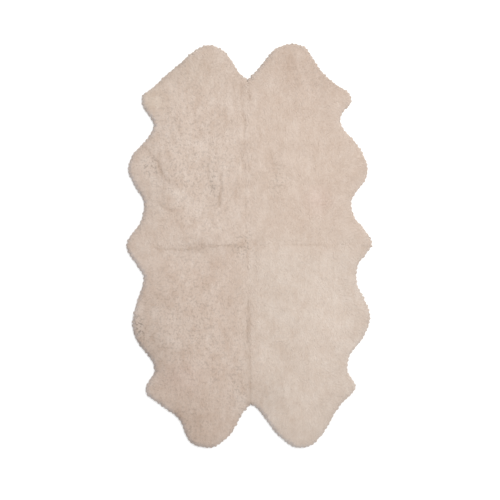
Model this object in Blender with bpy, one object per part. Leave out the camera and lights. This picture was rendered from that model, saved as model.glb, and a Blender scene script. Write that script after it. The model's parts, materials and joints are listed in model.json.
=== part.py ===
"""A sheepskin rug: four pelts sewn edge to edge, two across and two along, lying flat with the wool up.

Each pelt is a leather hide and the fleece that grows on it. The pelts butt along two straight seams:
the long seam runs along Y and the cross seam along X. Past the hide's outer edge the wool falls
outwards in locks, and the locks' tips rest on the floor.
Metres, +Z up, +Y towards the end with the shallower notch, origin on the floor at the rug's middle.
"""

import math
import random
from collections import namedtuple

import bmesh
import bpy
import numpy as np
from mathutils import Vector, noise
from mathutils.geometry import delaunay_2d_cdt, interpolate_bezier
from mathutils.kdtree import KDTree

# Thicknesses and gaps.
HIDE_THICKNESS = 0.002
REST_GAP = 0.0003
SEAM_GAP = 0.0004
PILE_HEIGHT = 0.023

# How far the wool reaches past the hide, and the locks that it parts into there.
WOOL_OVERHANG = 0.015
LOCK_WIDTH = 0.020
LOCK_LENGTH_PLAY = 0.0025
LOCK_LEAN_PLAY = 0.0030
LOCK_SEED = 11

# The wool's surface: its rounded border, its long swells and its shorter lumps.
BORDER_WIDTH = 0.024
SWELL_LENGTH, SWELL_HEIGHT = 0.210, 0.0040
LUMP_LENGTH, LUMP_HEIGHT = 0.085, 0.0050
SURFACE_PITCH = 0.030
SURFACE_JITTER = 0.22

# How finely the edges are drawn, and the angle over which one shows as an edge.
OUTLINE_STEPS = 13
HIDE_EDGE_PITCH = 0.018
SEAM_PITCH = 0.055
SHARP_ANGLE = math.radians(40)

# The triangle fill keeps to the inside of its border and merges nothing.
CDT_INSIDE = 1
CDT_MERGE = 1e-7

WOOL_COLOUR, WOOL_ROUGHNESS = (0.60, 0.49, 0.41, 1.0), 0.95
HIDE_COLOUR, HIDE_ROUGHNESS = (0.63, 0.50, 0.36, 1.0), 0.80

# On which side of the long seam and of the cross seam each pelt lies.
PELT_SIDES = {
    "upper_left": (-1, 1),
    "upper_right": (1, 1),
    "lower_left": (-1, -1),
    "lower_right": (1, -1),
}

# The wool's outline. Each pelt has the same stations, from the notch between two necks, round the
# neck, the foreleg and the belly, to the hip on the cross seam. A pair is the distance out from the
# long seam and the distance out from the cross seam.
Station = namedtuple("Station", "place upper_left upper_right lower_left lower_right")
STATIONS = (
    Station("notch", (0.000, 0.745), (0.000, 0.745), (0.000, 0.719), (0.000, 0.719)),
    Station("neck, inner side", (0.041, 0.790), (0.045, 0.793), (0.039, 0.769), (0.035, 0.746)),
    Station("neck, inner corner", (0.097, 0.874), (0.120, 0.881), (0.085, 0.848), (0.109, 0.847)),
    Station("neck, end", (0.174, 0.907), (0.194, 0.908), (0.151, 0.903), (0.170, 0.900)),
    Station("neck, outer corner", (0.254, 0.871), (0.260, 0.894), (0.204, 0.914), (0.212, 0.919)),
    Station("neck, outer side", (0.301, 0.828), (0.294, 0.850), (0.268, 0.892), (0.279, 0.904)),
    Station("shoulder, high", (0.363, 0.777), (0.340, 0.779), (0.298, 0.850), (0.337, 0.840)),
    Station("shoulder, low", (0.430, 0.716), (0.402, 0.724), (0.332, 0.776), (0.401, 0.735)),
    Station("foreleg, front", (0.474, 0.683), (0.459, 0.686), (0.455, 0.683), (0.466, 0.670)),
    Station("foreleg, end", (0.480, 0.655), (0.471, 0.639), (0.474, 0.638), (0.478, 0.637)),
    Station("foreleg, back", (0.469, 0.615), (0.436, 0.598), (0.456, 0.602), (0.461, 0.603)),
    Station("waist", (0.428, 0.547), (0.420, 0.563), (0.433, 0.556), (0.442, 0.564)),
    Station("chest", (0.461, 0.479), (0.436, 0.519), (0.454, 0.504), (0.455, 0.495)),
    Station("belly, front", (0.521, 0.415), (0.490, 0.458), (0.513, 0.425), (0.511, 0.427)),
    Station("belly, widest", (0.544, 0.343), (0.537, 0.371), (0.532, 0.343), (0.546, 0.333)),
    Station("belly, back", (0.517, 0.273), (0.534, 0.297), (0.509, 0.250), (0.524, 0.251)),
    Station("loin", (0.475, 0.194), (0.467, 0.196), (0.478, 0.145), (0.490, 0.182)),
    Station("hip, front", (0.492, 0.106), (0.482, 0.121), (0.507, 0.091), (0.492, 0.098)),
    Station("hip, corner", (0.531, 0.055), (0.519, 0.076), (0.539, 0.041), (0.526, 0.052)),
    Station("hip on the cross seam", (0.556, 0.000), (0.557, 0.000), (0.556, 0.000), (0.557, 0.000)),
)

# The side of the fleece, from its underside up to where its top begins. A pair is the inset from the
# wool's outline and the height. A lock, the hollow between two locks and a seam each have their own.
# Play is the share of a lock's own length and lean that shows at that level.
FLEECE_UNDERSIDE = HIDE_THICKNESS + REST_GAP
Level = namedtuple("Level", "name lock hollow seam play")
FLEECE_LEVELS = (
    Level("underside", (0.0140, FLEECE_UNDERSIDE), (0.0140, FLEECE_UNDERSIDE), (0.0, FLEECE_UNDERSIDE), 0.0),
    Level("sole", (0.0060, 0.0000), (0.0095, 0.0032), (0.0000, 0.0070), 0.4),
    Level("tip", (0.0000, 0.0000), (0.0080, 0.0070), (0.0000, 0.0120), 1.0),
    Level("flank", (0.0035, 0.0090), (0.0085, 0.0125), (0.0000, 0.0165), 0.7),
    Level("shoulder", (0.0105, 0.0180), (0.0125, 0.0190), (0.0040, 0.0205), 0.2),
)
TOP_INSET, TOP_HEIGHT = FLEECE_LEVELS[-1].hollow

# A column of the fleece's side: what it is, its place on the outline, the way in, and its own shift.
Column = namedtuple("Column", "kind place inward shift")
NO_SHIFT = Vector((0, 0))


def clear_scene():
    for obj in list(bpy.data.objects):
        bpy.data.objects.remove(obj, do_unlink=True)


def surface_material(name, colour, roughness):
    material = bpy.data.materials.new(name)
    material.use_nodes = True
    shader = material.node_tree.nodes["Principled BSDF"]
    shader.inputs["Base Color"].default_value = colour
    shader.inputs["Roughness"].default_value = roughness
    shader.inputs["Metallic"].default_value = 0.0
    material.diffuse_color = colour
    return material


def wool_outline(pelt):
    """Close points along the wool's free edge, from the notch round to the cross seam.

    At the notch the curve carries straight on, and at the cross seam it meets its own mirror image.
    """
    stations = [Vector(getattr(station, pelt)) for station in STATIONS]
    before_first = 2 * stations[0] - stations[1]
    after_last = Vector((stations[-2].x, -stations[-2].y))
    path = [before_first, *stations, after_last]
    points = []
    for before, start, end, after in zip(path, path[1:], path[2:], path[3:]):
        handle_out = start + (end - before) / 6
        handle_in = end - (after - start) / 6
        points += interpolate_bezier(start, handle_out, handle_in, end, OUTLINE_STEPS)[:-1]
    return points + [stations[-1]]


def path_length(points):
    return sum((b - a).length for a, b in zip(points, points[1:]))


def evenly_along(points, steps):
    """The places that divide a path of points into equal steps, both ends included."""
    lengths = np.cumsum([0.0] + [(b - a).length for a, b in zip(points, points[1:])])
    wanted = np.linspace(0.0, lengths[-1], steps + 1)
    outs = np.interp(wanted, lengths, [point.x for point in points])
    ups = np.interp(wanted, lengths, [point.y for point in points])
    return [Vector(pair) for pair in zip(outs, ups)]


def ways_in(places):
    """The unit direction into the pelt at each place along its free edge.

    The two ends lie on seams, so they move in along the seam, by as much as keeps the inset even.
    """
    directions = []
    for index in range(len(places)):
        before = places[max(index - 1, 0)]
        after = places[min(index + 1, len(places) - 1)]
        along = (after - before).normalized()
        directions.append(Vector((along.y, -along.x)))
    for end, seam in ((0, Vector((0, -1))), (-1, Vector((-1, 0)))):
        directions[end] = seam / directions[end].dot(seam)
    return directions


def clear_of_seams(place):
    """A place held half a gap off both seams."""
    return Vector((max(place.x, SEAM_GAP / 2), max(place.y, SEAM_GAP / 2)))


def onto_sides(pelt, out, up, height=0.0):
    """A place measured out from the two seams, put on the pelt's own sides of them."""
    side_x, side_y = PELT_SIDES[pelt]
    return Vector((side_x * out, side_y * up, height))


def rim_columns(pelt, rng):
    """Hollow, lock, hollow and so on along the pelt's free edge."""
    path = wool_outline(pelt)
    places = evenly_along(path, 2 * round(path_length(path) / LOCK_WIDTH))
    columns = []
    for index, (place, inward) in enumerate(zip(places, ways_in(places))):
        is_lock = index % 2 == 1
        longer = rng.uniform(-1, 1) * LOCK_LENGTH_PLAY
        lean = rng.uniform(-1, 1) * LOCK_LEAN_PLAY
        sideways = Vector((-inward.y, inward.x))
        shift = sideways * lean - inward * longer if is_lock else NO_SHIFT
        columns.append(Column("lock" if is_lock else "hollow", place, inward, shift))
    return columns


def seam_columns(start, end, inward):
    """Even columns between the two ends of a seam, without the ends."""
    steps = round((end - start).length / SEAM_PITCH)
    places = evenly_along([start, end], steps)[1:-1]
    return [Column("seam", place, inward, NO_SHIFT) for place in places]


def pelt_columns(pelt, rng):
    """Every column round the pelt, with the free edge first."""
    rim = rim_columns(pelt, rng)
    cross = Vector((0, 0))
    return [
        *rim,
        *seam_columns(rim[-1].place, cross, Vector((0, 1))),
        Column("seam", cross, Vector((1, 1)), NO_SHIFT),
        *seam_columns(cross, rim[0].place, Vector((1, 0))),
    ]


def level_ring(columns, level):
    """The fleece's section at one level, as (place, height) pairs."""
    ring = []
    for column in columns:
        inset, height = getattr(level, column.kind)
        place = column.place + column.inward * inset + column.shift * level.play
        ring.append((clear_of_seams(place), height))
    return ring


def unevenness(spot):
    """How far the wool stands above or below its even height there."""
    flat = Vector((spot.x, spot.y, 0.0))
    return noise.noise(flat / SWELL_LENGTH) * SWELL_HEIGHT + noise.noise(flat / LUMP_LENGTH) * LUMP_HEIGHT


def scattered(widest, longest, rng):
    """Places in staggered rows over a rectangle, each a little off its even place."""
    row_step = SURFACE_PITCH * math.sqrt(3) / 2
    for row in range(math.ceil(longest / row_step)):
        for step in range(math.ceil(widest / SURFACE_PITCH)):
            even = Vector(((step + 0.5 * (row % 2)) * SURFACE_PITCH, row * row_step))
            jitter = Vector((rng.uniform(-1, 1), rng.uniform(-1, 1)))
            yield even + jitter * SURFACE_JITTER * SURFACE_PITCH


def surface_places(columns, rng):
    """Scattered places on the wool's top, each with its depth in from the nearest edge or seam."""
    rim = [column for column in columns if column.kind != "seam"]
    tree = KDTree(len(rim))
    for index, column in enumerate(rim):
        tree.insert((*column.place, 0), index)
    tree.balance()
    widest = max(column.place.x for column in rim)
    longest = max(column.place.y for column in rim)
    found = []
    for place in scattered(widest, longest, rng):
        nearest = rim[tree.find((*place, 0))[1]]
        depth = min((place - nearest.place).dot(nearest.inward) - TOP_INSET, place.x, place.y)
        if depth > SURFACE_PITCH / 2:
            found.append((place, depth))
    return found


def fill_in(mesh, ring, inner):
    """Triangles between a closed ring of vertices and the vertices inside it, as seen from above."""
    vertices = [*ring, *inner]
    edges = [(index, (index + 1) % len(ring)) for index in range(len(ring))]
    places = [vertex.co.xy for vertex in vertices]
    _, _, faces, sources, _, _ = delaunay_2d_cdt(places, edges, [], CDT_INSIDE, CDT_MERGE)
    for face in faces:
        mesh.faces.new([vertices[sources[corner][0]] for corner in face])


def top_vertices(mesh, pelt, columns, rng):
    """The lumps and swells of the fleece's top, falling to its border at the edges and seams."""
    full_height = FLEECE_UNDERSIDE + PILE_HEIGHT
    vertices = []
    for place, depth in surface_places(columns, rng):
        share = min(depth / BORDER_WIDTH, 1.0)
        spot = onto_sides(pelt, place.x, place.y)
        spot.z = TOP_HEIGHT + (full_height - TOP_HEIGHT) * share * (2 - share) + unevenness(spot) * share
        vertices.append(mesh.verts.new(spot))
    return vertices


def fleece(pelt, material, rng):
    """The wool of one pelt: rings of vertices up its side, a flat underside and a lumpy top."""
    columns = pelt_columns(pelt, rng)
    built = bmesh.new()
    rings = []
    for level in FLEECE_LEVELS:
        points = [onto_sides(pelt, *place, height) for place, height in level_ring(columns, level)]
        rings.append([built.verts.new(point) for point in points])
    for lower, upper in zip(rings, rings[1:]):
        for index in range(len(columns)):
            following = (index + 1) % len(columns)
            built.faces.new((lower[index], lower[following], upper[following], upper[index]))
    fill_in(built, rings[0], [])
    fill_in(built, rings[-1], top_vertices(built, pelt, columns, rng))
    bmesh.ops.triangulate(built, faces=built.faces[:])
    bmesh.ops.recalc_face_normals(built, faces=built.faces[:])
    mesh = bpy.data.meshes.new(f"fleece_{pelt}")
    built.to_mesh(mesh)
    built.free()
    mesh.shade_smooth()
    mesh.set_sharp_from_angle(angle=SHARP_ANGLE)
    mesh.materials.append(material)
    return bpy.data.objects.new(f"fleece_{pelt}", mesh)


def hide(pelt, material):
    """The leather of one pelt: a flat sheet, inset from the wool's free edge and straight at its seams."""
    path = wool_outline(pelt)
    places = evenly_along(path, round(path_length(path) / HIDE_EDGE_PITCH))
    edge = [place + inward * WOOL_OVERHANG for place, inward in zip(places, ways_in(places))]
    curve = bpy.data.curves.new(f"hide_{pelt}", "CURVE")
    curve.dimensions = "2D"
    curve.fill_mode = "BOTH"
    curve.extrude = HIDE_THICKNESS / 2
    corners = [clear_of_seams(place) for place in [*edge, Vector((0, 0))]]
    spline = curve.splines.new("POLY")
    spline.points.add(len(corners) - 1)
    for point, corner in zip(spline.points, corners):
        point.co = (*onto_sides(pelt, *corner), 1.0)
    spline.use_cyclic_u = True
    curve.materials.append(material)
    sheet = bpy.data.objects.new(f"hide_{pelt}", curve)
    sheet.location.z = HIDE_THICKNESS / 2
    return sheet


def middle_of(objects):
    """The middle of the box round the given meshes, on the floor."""
    corners = [vertex.co for obj in objects for vertex in obj.data.vertices]
    middle_x = (min(corner.x for corner in corners) + max(corner.x for corner in corners)) / 2
    middle_y = (min(corner.y for corner in corners) + max(corner.y for corner in corners)) / 2
    return Vector((middle_x, middle_y, 0.0))


def main():
    clear_scene()
    rug = bpy.data.collections.new("sheepskin_rug")
    bpy.context.scene.collection.children.link(rug)
    wool = surface_material("wool", WOOL_COLOUR, WOOL_ROUGHNESS)
    leather = surface_material("leather", HIDE_COLOUR, HIDE_ROUGHNESS)
    rng = random.Random(LOCK_SEED)
    fleeces = [fleece(pelt, wool, rng) for pelt in PELT_SIDES]
    hides = [hide(pelt, leather) for pelt in PELT_SIDES]

    seam_cross = bpy.data.objects.new("seam_cross", None)
    seam_cross.location = -middle_of(fleeces)
    rug.objects.link(seam_cross)
    for piece in fleeces + hides:
        rug.objects.link(piece)
        piece.parent = seam_cross


main()
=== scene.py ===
"""The look of a sheepskin rug: the wool, the suede under it and the sewing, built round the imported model.

Each of the four pelts has a suede hide, a dense pile, flat locks of wool laid all over it and thin
wisps along its rim. The pelts meet along a long seam and a cross seam, sewn on the underside.
Metres, +Z up.
"""

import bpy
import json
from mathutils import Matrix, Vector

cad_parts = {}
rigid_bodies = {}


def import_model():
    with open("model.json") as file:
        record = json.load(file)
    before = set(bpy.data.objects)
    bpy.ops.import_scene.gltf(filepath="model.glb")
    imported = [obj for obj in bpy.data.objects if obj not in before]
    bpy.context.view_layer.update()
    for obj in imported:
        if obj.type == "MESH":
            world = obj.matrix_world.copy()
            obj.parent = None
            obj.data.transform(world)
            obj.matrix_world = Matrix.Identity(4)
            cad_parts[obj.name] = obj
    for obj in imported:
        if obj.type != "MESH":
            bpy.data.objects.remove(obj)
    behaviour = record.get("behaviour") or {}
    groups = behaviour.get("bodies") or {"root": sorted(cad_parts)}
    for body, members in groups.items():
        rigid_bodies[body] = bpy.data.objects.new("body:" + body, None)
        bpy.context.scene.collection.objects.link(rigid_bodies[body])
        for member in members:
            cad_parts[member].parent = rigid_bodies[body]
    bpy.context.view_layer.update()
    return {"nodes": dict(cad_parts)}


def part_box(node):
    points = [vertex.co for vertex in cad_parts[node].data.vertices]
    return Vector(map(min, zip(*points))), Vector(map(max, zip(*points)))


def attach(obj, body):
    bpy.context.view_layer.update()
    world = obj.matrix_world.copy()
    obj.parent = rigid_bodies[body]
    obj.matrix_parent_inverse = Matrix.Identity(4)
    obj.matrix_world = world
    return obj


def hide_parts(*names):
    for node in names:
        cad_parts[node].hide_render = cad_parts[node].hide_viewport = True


bl_info = {
    "name": "Sheepskin Rug",
    "version": (1, 0, 0),
    "blender": (4, 5, 0),
    "location": "View3D > Sidebar > Sheepskin Rug",
    "description": "Dresses a rug of four sewn sheepskins with wool locks, suede and seam stitches",
    "category": "Add Mesh",
}

import json
import math
from collections import namedtuple

import bmesh
import bpy
import numpy as np
from bpy.props import FloatProperty, FloatVectorProperty, IntProperty, PointerProperty
from bpy.types import Operator, Panel, PropertyGroup
from mathutils import Euler, Vector, noise
from mathutils.bvhtree import BVHTree
from mathutils.geometry import delaunay_2d_cdt
from mathutils.kdtree import KDTree

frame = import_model()

MM = 0.001
BODY = "root"

# On which side of the long seam and of the cross seam each pelt lies.
PELT_SIDES = {
    "upper_left": (-1, 1),
    "upper_right": (1, 1),
    "lower_left": (-1, -1),
    "lower_right": (1, -1),
}

# The fleece's shade on each pelt, as no two skins are quite alike.
PELT_SHADES = {
    "upper_left": (0.984, 0.989, 0.989),
    "upper_right": (0.968, 0.965, 0.955),
    "lower_left": (0.968, 0.961, 0.954),
    "lower_right": (0.983, 1.008, 1.012),
}


def seam_between(low_node, high_node, axis):
    """Where two neighbouring CAD nodes meet along an axis."""
    return (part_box(low_node)[1][axis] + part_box(high_node)[0][axis]) / 2


SEAM_X = seam_between("fleece_upper_left", "fleece_upper_right", 0)
SEAM_Y = seam_between("fleece_lower_left", "fleece_upper_left", 1)
CROSS = np.array([SEAM_X, SEAM_Y])
HIDE_TOP = max(corner.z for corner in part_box("hide_upper_left"))

# Places where the wool parts and a groove shows. Points are distances right of the long seam and
# above the cross seam. Width and depth are the groove's, open is how strongly the locks turn away
# from it, and dark is how much painted shade darkens its wool, for the shade that falls in the groove.
Parting = namedtuple("Parting", "place width depth open dark points")
PARTINGS = (
    Parting("long seam, left of the necks", 0.006, 0.0025, 0.30, 0.10,
            ((-0.027, 0.721), (-0.031, 0.667), (-0.026, 0.609), (-0.012, 0.548), (-0.020, 0.442))),
    Parting("long seam, right of the necks", 0.005, 0.0025, 0.30, 0.14, ((0.005, 0.700), (0.011, 0.653))),
    Parting("long seam, lower half", 0.005, 0.0018, 0.25, 0.10,
            ((0.000, -0.190), (-0.001, -0.450), (0.000, -0.715))),
    Parting("long seam, below the cross", 0.0035, 0.0025, 0.30, 0.18, ((-0.006, -0.240), (-0.004, -0.305))),
    Parting("long seam, lower loin", 0.0035, 0.0025, 0.30, 0.15, ((-0.012, -0.330), (-0.010, -0.440))),
    Parting("cross seam, left end", 0.0045, 0.0025, 0.25, 0.11,
            ((-0.450, 0.012), (-0.425, -0.006), (-0.400, -0.016), (-0.345, -0.013), (-0.292, -0.022))),
    Parting("cross seam, left half", 0.0035, 0.0025, 0.30, 0.21,
            ((-0.275, -0.016), (-0.220, -0.006), (-0.170, -0.003), (-0.120, -0.001))),
    Parting("cross seam, left of the cross", 0.0035, 0.0025, 0.25, 0.15,
            ((-0.095, -0.002), (-0.070, -0.005), (-0.018, -0.010))),
    Parting("cross seam, right of the cross", 0.006, 0.0015, 0.20, 0.05,
            ((0.062, -0.008), (0.090, 0.000), (0.120, 0.009))),
    Parting("cross seam, right half", 0.0040, 0.0018, 0.20, 0.11,
            ((0.177, -0.002), (0.270, -0.003), (0.367, -0.004))),
    Parting("cross seam, right end", 0.005, 0.0012, 0.15, 0.04, ((0.392, 0.003), (0.455, 0.002))),
    Parting("above the cross seam", 0.0045, 0.0012, 0.15, 0.06, ((0.180, 0.016), (0.262, 0.016))),
    Parting("above the cross seam, left", 0.0035, 0.0015, 0.15, 0.10, ((-0.250, 0.008), (-0.170, 0.006))),
    Parting("left belly curl, upper end", 0.006, 0.0030, 0.30, 0.15,
            ((-0.463, 0.448), (-0.447, 0.427), (-0.438, 0.409))),
    Parting("left belly curl", 0.006, 0.0035, 0.35, 0.21,
            ((-0.429, 0.389), (-0.406, 0.381), (-0.399, 0.358), (-0.389, 0.330))),
    Parting("left belly curl, lower end", 0.008, 0.0035, 0.30, 0.15,
            ((-0.388, 0.330), (-0.371, 0.302), (-0.356, 0.292))),
    Parting("left loin", 0.006, 0.0030, 0.30, 0.14, ((-0.395, 0.190), (-0.379, 0.169), (-0.340, 0.155))),
    Parting("left loin, above", 0.005, 0.0020, 0.20, 0.06, ((-0.400, 0.230), (-0.358, 0.230))),
    Parting("upper left, groove, left side", 0.006, 0.0025, 0.25, 0.13,
            ((-0.181, 0.359), (-0.181, 0.310), (-0.169, 0.266), (-0.160, 0.236))),
    Parting("upper left, groove, right side", 0.007, 0.0030, 0.25, 0.17,
            ((-0.128, 0.318), (-0.122, 0.279), (-0.123, 0.240), (-0.131, 0.219), (-0.131, 0.182))),
    Parting("upper left, by the seam", 0.007, 0.0025, 0.25, 0.05,
            ((-0.036, 0.430), (-0.024, 0.360), (-0.026, 0.295))),
    Parting("long seam, upper half", 0.0045, 0.0015, 0.20, 0.06,
            ((-0.018, 0.430), (-0.014, 0.300), (-0.012, 0.060))),
    Parting("upper right, by the seam", 0.012, 0.0020, 0.25, 0.04,
            ((0.110, 0.390), (0.120, 0.300), (0.105, 0.210))),
)

# Faint streaks in the wool's tone, with no groove: how wide, how dark, and their points.
Streak = namedtuple("Streak", "place width dark points")
STREAKS = (
    Streak("beside the long seam, lower half", 0.016, 0.07,
           ((0.041, -0.020), (0.005, -0.250), (-0.018, -0.470), (0.000, -0.675))),
    Streak("along the long seam, pale", 0.003, -0.05, ((0.000, 0.300), (0.000, 0.010))),
    Streak("upper right, slanting", 0.016, 0.05, ((0.155, 0.430), (0.060, 0.025))),
    Streak("long seam, between the necks", 0.010, 0.04, ((-0.018, 0.720), (-0.012, 0.545))),
    Streak("upper left, in the groove", 0.022, 0.04, ((-0.158, 0.370), (-0.140, 0.190))),
    Streak("lower left, across the loin", 0.004, 0.05, ((-0.330, -0.480), (-0.110, -0.492))),
    Streak("under the cross seam, left", 0.010, 0.05, ((-0.275, -0.020), (-0.165, -0.018))),
)

# Large faint patches: the middle, how far each reaches across and along, the tint there, and how
# strongly dark flecks of painted shade, as if between its curls, show there.
Patch = namedtuple("Patch", "place centre reach tint flecks")
PATCHES = (
    Patch("upper left, all over", (-0.270, 0.380), (0.30, 0.50), (1.00, 1.00, 1.00), 0.35),
    Patch("lower left, all over", (-0.270, -0.380), (0.30, 0.50), (1.00, 1.00, 1.00), 0.35),
    Patch("upper left neck", (-0.260, 0.800), (0.16, 0.10), (0.93, 0.92, 0.90), 0.1),
    Patch("upper left flank", (-0.400, 0.290), (0.06, 0.14), (0.95, 0.95, 0.95), 0.3),
    Patch("upper left belly", (-0.430, 0.655), (0.06, 0.06), (1.00, 1.00, 0.97), 0.0),
    Patch("upper left belly curl", (-0.435, 0.360), (0.05, 0.06), (1.00, 1.00, 1.00), 0.7),
    Patch("upper left groove", (-0.155, 0.280), (0.03, 0.09), (0.98, 0.98, 0.98), 0.6),
    Patch("upper right neck", (0.280, 0.770), (0.18, 0.20), (0.93, 0.91, 0.90), 0.2),
    Patch("upper right back", (0.315, 0.200), (0.06, 0.06), (1.01, 0.98, 0.99), 0.0),
    Patch("upper right, by the seam", (0.131, 0.292), (0.05, 0.08), (1.00, 1.00, 1.00), 0.4),
    Patch("left of the cross", (-0.270, -0.005), (0.16, 0.05), (0.94, 0.94, 0.94), 0.3),
    Patch("round the cross", (-0.025, 0.000), (0.05, 0.06), (1.00, 1.00, 1.00), 0.7),
    Patch("lower left belly", (-0.450, -0.450), (0.15, 0.20), (0.90, 0.90, 0.90), 0.3),
    Patch("lower left belly, at the rim", (-0.495, -0.370), (0.03, 0.07), (1.00, 1.00, 1.00), 1.0),
    Patch("lower left loin", (-0.310, -0.590), (0.10, 0.07), (0.97, 0.94, 0.94), 0.2),
    Patch("lower left neck", (-0.290, -0.810), (0.14, 0.14), (0.83, 0.79, 0.76), 0.4),
    Patch("lower left, by the seam", (-0.060, -0.620), (0.06, 0.20), (0.98, 0.98, 0.98), 0.4),
    Patch("lower right neck, inside", (0.085, -0.675), (0.07, 0.07), (0.95, 0.95, 0.95), 0.0),
    Patch("lower right flank", (0.400, -0.370), (0.15, 0.25), (1.06, 1.07, 1.08), 0.0),
)
SHADES_MEET = 0.10  # the pelts' shades run into each other this far on each side of a seam
# Painted shade: the partings' darkening, and the streaks' darker tone, take this brown tint.
PAINTED_SHADE_AND_STREAK_TINT = np.array([0.85, 1.00, 1.15])  # the dark in the partings is this brown
# Painted shade: the wool's colour is darkened towards its rim, where it slopes away from the light.
RIM_PAINTED_SHADE = 0.045  # the wool is this much darker at its rim
RIM_REACH = 0.16  # and the darkening ends this far in
# Painted shade: the outermost wool on the side away from the light is painted greyer and darker.
SHADED_FRINGE_SIDE = np.array([-0.8, -0.6])  # on this side the outermost wool is greyer
FRINGE_PAINTED_SHADE = np.array([0.16, 0.12, 0.05])
SHADED_FRINGE_CORE, SHADED_FRINGE_REACH = 3 * MM, 14 * MM  # in full up to here, and gone this far in


def arithmetic(operation):
    """The methods for an operator whose signal stands on its left, and on its right."""

    def on_left(signal, other):
        return signal.nodes.maths(operation, signal, other)

    def on_right(signal, other):
        return signal.nodes.maths(operation, other, signal)

    return on_left, on_right


class Signal:
    """A socket of a node tree. Arithmetic on signals adds the maths nodes that it needs."""

    def __init__(self, nodes, socket):
        self.nodes = nodes
        self.socket = socket

    def output(self, name):
        """Another output of the same node."""
        return Signal(self.nodes, self.socket.node.outputs[name])

    __add__, __radd__ = arithmetic("ADD")
    __sub__, __rsub__ = arithmetic("SUBTRACT")
    __mul__, __rmul__ = arithmetic("MULTIPLY")
    __truediv__, __rtruediv__ = arithmetic("DIVIDE")


def is_vector(value):
    if isinstance(value, Signal):
        return value.socket.type in ("VECTOR", "RGBA")
    return isinstance(value, tuple)


class Nodes:
    """Adds nodes to one tree, for a material or for Geometry Nodes."""

    def __init__(self, tree):
        self.tree = tree

    def node(self, kind, settings=None, inputs=None):
        """Adds a node, with its settings first and then its inputs, and returns its first output."""
        made = self.tree.nodes.new(kind)
        for name, value in (settings or {}).items():
            setattr(made, name, value)
        for name, value in (inputs or {}).items():
            self.feed(made, name, value)
        return Signal(self, next(socket for socket in made.outputs if socket.enabled))

    def feed(self, made, name, value):
        """Links a signal to a socket, or sets the socket to a plain value."""
        if isinstance(name, int):
            socket = made.inputs[name]
        else:
            socket = next(one for one in made.inputs if one.enabled and one.name == name)
        if isinstance(value, Signal):
            self.tree.links.new(value.socket, socket)
        else:
            socket.default_value = value

    def maths(self, operation, *values):
        """A Math node, or a Vector Math node where a value is a vector or a colour."""
        if any(is_vector(value) for value in values):
            spread = [value if isinstance(value, (Signal, tuple)) else (value,) * 3 for value in values]
            return self.node("ShaderNodeVectorMath", {"operation": operation}, dict(enumerate(spread)))
        return self.node("ShaderNodeMath", {"operation": operation}, dict(enumerate(values)))


def split(nodes, vector):
    """A vector's three parts, as the outputs X, Y and Z."""
    return nodes.node("ShaderNodeSeparateXYZ", None, {"Vector": vector})


def joined(nodes, x=0.0, y=0.0, z=0.0):
    """A vector of three parts."""
    return nodes.node("ShaderNodeCombineXYZ", None, {"X": x, "Y": y, "Z": z})


def grain(nodes, place, size, detail=2.0, distortion=0.0):
    """Noise whose patches are about this wide, around a half."""
    return nodes.node("ShaderNodeTexNoise", None, {
        "Vector": place, "Scale": 1.0 / size, "Detail": detail, "Distortion": distortion})


def cloudy(nodes, place, size, detail=2.0):
    """Noise whose patches are about this wide, around 0 and mostly within a half each way."""
    return grain(nodes, place, size, detail) - 0.5


# ---------------------------------------------------------------- settings


def length_setting(name, description, default, least=0.0, precision=4):
    """A property that holds a length in metres."""
    return FloatProperty(name=name, description=description, default=default, min=least,
                         unit="LENGTH", precision=precision)


def colour_setting(name, description, default):
    """A property that holds a colour."""
    return FloatVectorProperty(name=name, description=description, default=default,
                               size=3, subtype="COLOR", min=0.0, max=1.0)


class FleeceSettings(PropertyGroup):
    """The wool: its locks, how they lie, and its colour."""

    pile_drop: length_setting("Pile Drop", "How far the pile lies below the CAD fleece", 3 * MM)
    tuft_size: length_setting("Tuft Size", "Width of a tuft of curls", 22 * MM, 5 * MM)
    tuft_height: length_setting("Tuft Height", "How far a tuft stands above or below the others", 1.6 * MM)
    clump_size: length_setting("Clump Size", "Width of a clump of tufts", 48 * MM, 5 * MM)
    clump_height: length_setting("Clump Height", "How far a clump stands above or below the others", 1.6 * MM)
    spacing: length_setting("Lock Spacing", "Least distance between the roots of two locks", 6.2 * MM, 3 * MM)
    length: length_setting("Lock Length", "Length of a lock along its bend", 32 * MM, 5 * MM)
    width: length_setting("Lock Width", "Diameter of the circle round a lock's widest section", 11 * MM, MM)
    rise: length_setting("Lock Rise", "How far a lock's middle stands out of the pile", 1.5 * MM)
    swirl_size: length_setting("Swirl Size", "Width of a swirl in the wool's lie", 110 * MM, 10 * MM)
    colour: colour_setting("Wool Colour", "Colour of the wool's tips", (0.657, 0.551, 0.482))
    seed: IntProperty(name="Seed", description="Start of the random draws", default=7, min=0)


class HideSettings(PropertyGroup):
    """The suede underside of the pelts."""

    colour: colour_setting("Suede Colour", "Colour of the leather's flesh side", (0.62, 0.49, 0.35))
    grid: length_setting("Mesh Pitch", "Distance between the points of the suede's mesh", 15 * MM, 5 * MM)
    seam_rise: length_setting("Seam Rise", "How far the edges that are sewn lift off the floor", 0.9 * MM,
                              precision=5)


class StitchSettings(PropertyGroup):
    """The overcast stitches that join the pelts."""

    pitch: length_setting("Stitch Pitch", "Distance from one stitch to the next", 4.5 * MM, MM)
    width: length_setting("Stitch Width", "How far a stitch reaches across the seam", 5.0 * MM, MM)
    thread: length_setting("Thread Diameter", "Diameter of the sewing thread", 0.9 * MM, 0.1 * MM, 5)
    colour: colour_setting("Thread Colour", "Colour of the sewing thread", (0.70, 0.62, 0.50))


class StageSettings(PropertyGroup):
    """The floor, the lights and the camera."""

    floor_colour: colour_setting("Floor Colour", "Colour of the floor", (0.93, 0.93, 0.93))
    sky: FloatProperty(name="Sky Strength", description="Strength of the even light", default=1.0, min=0.0)
    key: FloatProperty(
        name="Key Power", description="Power of the large soft light", default=90.0, min=0.0, unit="POWER")


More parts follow.
